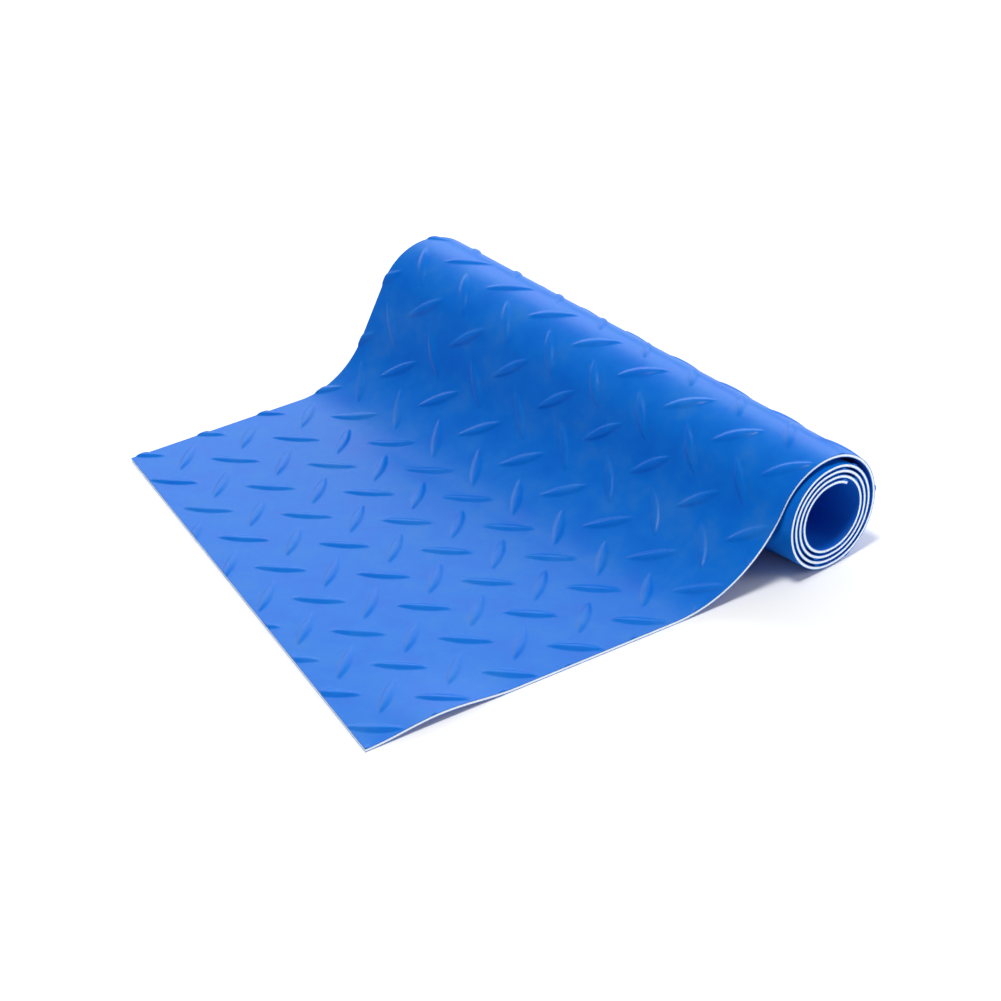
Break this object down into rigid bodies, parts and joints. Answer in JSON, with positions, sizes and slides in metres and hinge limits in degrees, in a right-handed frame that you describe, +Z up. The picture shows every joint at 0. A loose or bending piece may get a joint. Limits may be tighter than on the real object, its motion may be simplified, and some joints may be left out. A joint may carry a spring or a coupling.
{
  "type": "rolled tread mat",
  "caption": "Thin flexible vinyl tread mat with raised lens-shaped grip bars, lying flat at one end and wound into a loose open roll at the other.",
  "frame": {"origin": "on the floor, under the middle of the flat free end", "axes": "+Z up from the floor; +Y along the roll, away from the long edge nearest the camera; +X from the free end towards the roll"},
  "size_m": [0.2242, 0.2494, 0.0556],
  "materials": {
    "tread": "satin embossed vinyl",
    "core": "matt pale foamed vinyl",
    "backing": "smooth satin vinyl"
  },
  "bodies": {
    "roll": {"tread_bend_15": "tread", "core_bend_15": "core", "backing_bend_15": "backing", "tread_bend_16": "tread", "core_bend_16": "core", "backing_bend_16": "backing", "tread_bend_17": "tread", "core_bend_17": "core", "backing_bend_17": "backing", "tread_roll": "tread", "core_roll": "core", "backing_roll": "backing"},
    "bend_14": {"tread_bend_14": "tread", "core_bend_14": "core", "backing_bend_14": "backing"},
    "bend_13": {"tread_bend_13": "tread", "core_bend_13": "core", "backing_bend_13": "backing"},
    "bend_12": {"tread_bend_12": "tread", "core_bend_12": "core", "backing_bend_12": "backing"},
    "bend_11": {"tread_bend_11": "tread", "core_bend_11": "core", "backing_bend_11": "backing"},
    "bend_10": {"tread_bend_10": "tread", "core_bend_10": "core", "backing_bend_10": "backing"},
    "bend_09": {"tread_bend_09": "tread", "core_bend_09": "core", "backing_bend_09": "backing"},
    "bend_08": {"tread_bend_08": "tread", "core_bend_08": "core", "backing_bend_08": "backing"},
    "bend_07": {"tread_bend_07": "tread", "core_bend_07": "core", "backing_bend_07": "backing"},
    "bend_06": {"tread_bend_06": "tread", "core_bend_06": "core", "backing_bend_06": "backing"},
    "bend_05": {"tread_bend_05": "tread", "core_bend_05": "core", "backing_bend_05": "backing"},
    "bend_04": {"tread_bend_04": "tread", "core_bend_04": "core", "backing_bend_04": "backing"},
    "bend_03": {"tread_bend_03": "tread", "core_bend_03": "core", "backing_bend_03": "backing"},
    "bend_02": {"tread_bend_02": "tread", "core_bend_02": "core", "backing_bend_02": "backing"},
    "bend_01": {"tread_bend_01": "tread", "core_bend_01": "core", "backing_bend_01": "backing"},
    "free_end": {"tread_free_end": "tread", "core_free_end": "core", "backing_free_end": "backing"}
  },
  "joints": [
    {"name": "fold_15", "type": "hinge", "parent": "roll", "child": "bend_14", "pos_m": [0.14153, -0.01791, 0.01418], "axis": [0.0216, 0.9997, 0.0129], "range_deg": [0, 17.99]},
    {"name": "fold_14", "type": "hinge", "parent": "bend_14", "child": "bend_13", "pos_m": [0.1439, -0.01788, 0.02145], "axis": [0.0239, 0.9995, 0.0201], "range_deg": [0, 17.99]},
    {"name": "fold_13", "type": "hinge", "parent": "bend_13", "child": "bend_12", "pos_m": [0.1439, -0.0178, 0.02909], "axis": [0.0239, 0.9993, 0.0277], "range_deg": [0, 17.99]},
    {"name": "fold_12", "type": "hinge", "parent": "bend_12", "child": "bend_11", "pos_m": [0.14156, -0.01767, 0.03636], "axis": [0.0216, 0.9992, 0.0349], "range_deg": [0, 17.99]},
    {"name": "fold_11", "type": "hinge", "parent": "bend_11", "child": "bend_10", "pos_m": [0.13708, -0.01746, 0.04255], "axis": [0.0172, 0.999, 0.041], "range_deg": [0, 17.99]},
    {"name": "fold_10", "type": "hinge", "parent": "bend_10", "child": "bend_09", "pos_m": [0.13092, -0.01715, 0.04705], "axis": [0.0111, 0.9989, 0.0455], "range_deg": [0, 17.99]},
    {"name": "fold_09", "type": "hinge", "parent": "bend_09", "child": "bend_08", "pos_m": [0.12367, -0.01675, 0.04944], "axis": [0.0039, 0.9988, 0.0478], "range_deg": [0, 17.99]},
    {"name": "fold_08", "type": "hinge", "parent": "bend_08", "child": "bend_07", "pos_m": [0.11674, -0.01625, 0.04947], "axis": [0.0008, 0.9989, 0.0478], "range_deg": [0, 16]},
    {"name": "fold_07", "type": "hinge", "parent": "bend_07", "child": "bend_06", "pos_m": [0.11075, -0.01568, 0.04778], "axis": [0.0022, 0.9988, 0.0482], "range_deg": [0, 16]},
    {"name": "fold_06", "type": "hinge", "parent": "bend_06", "child": "bend_05", "pos_m": [0.10545, -0.01504, 0.0445], "axis": [0.0035, 0.9988, 0.049], "range_deg": [0, 16]},
    {"name": "fold_05", "type": "hinge", "parent": "bend_05", "child": "bend_04", "pos_m": [0.10128, -0.01434, 0.0399], "axis": [0.0044, 0.9987, 0.0501], "range_deg": [0, 16]},
    {"name": "fold_04", "type": "hinge", "parent": "bend_04", "child": "bend_03", "pos_m": [0.09136, -0.01297, 0.01966], "axis": [0.0374, -0.9987, 0.0357], "range_deg": [-16, 0]},
    {"name": "fold_03", "type": "hinge", "parent": "bend_03", "child": "bend_02", "pos_m": [0.08314, -0.01115, 0.01054], "axis": [0.0221, -0.9996, 0.0186], "range_deg": [-16, 0]},
    {"name": "fold_02", "type": "hinge", "parent": "bend_02", "child": "bend_01", "pos_m": [0.07275, -0.00939, 0.00403], "axis": [0.0025, -1, 0.0064], "range_deg": [-16, 0]},
    {"name": "fold_01", "type": "hinge", "parent": "bend_01", "child": "free_end", "pos_m": [0.06098, -0.00768, 0.00065], "axis": [-0.0198, -0.9998, 0], "range_deg": [-16, 0]}
  ]
}
